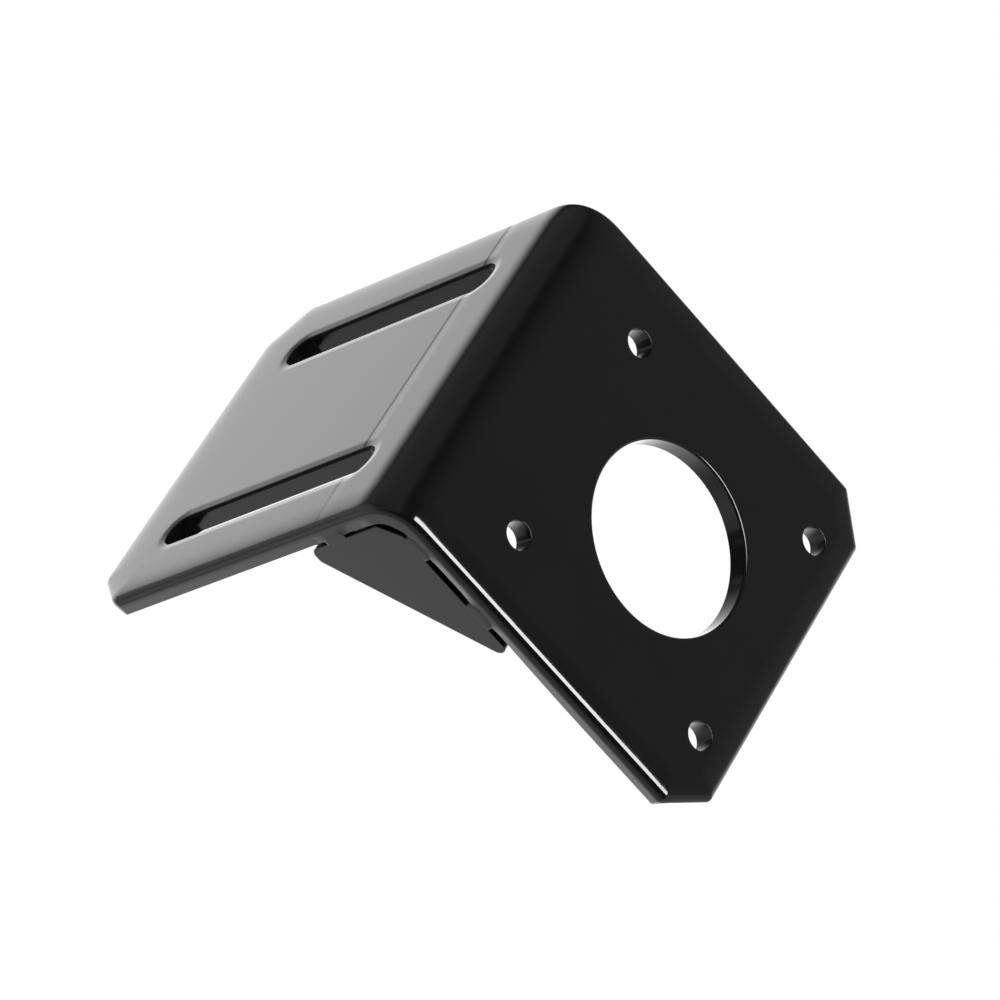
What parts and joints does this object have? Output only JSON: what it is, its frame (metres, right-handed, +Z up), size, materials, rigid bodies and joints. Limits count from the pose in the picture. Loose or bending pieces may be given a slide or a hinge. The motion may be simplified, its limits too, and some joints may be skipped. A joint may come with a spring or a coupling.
{
  "type": "motor mounting bracket",
  "caption": "Folded steel L bracket: slotted base leg, upright motor leg with pilot bore and screw holes, and a welded gusset at each side.",
  "frame": {"origin": "on the base leg's outer face, below the middle of the bracket", "axes": "+Z up from the base leg's outer face, +Y along the base leg away from the motor leg and along the motor's axis, X across the width"},
  "size_m": [0.0502, 0.054, 0.0517],
  "materials": {
    "black_enamel": "semi-gloss black stoved enamel over steel"
  },
  "bodies": {
    "root": {"angle_plate": "black_enamel", "gusset_right": "black_enamel", "gusset_left": "black_enamel", "welds_right": "black_enamel", "welds_left": "black_enamel"}
  },
  "joints": []
}
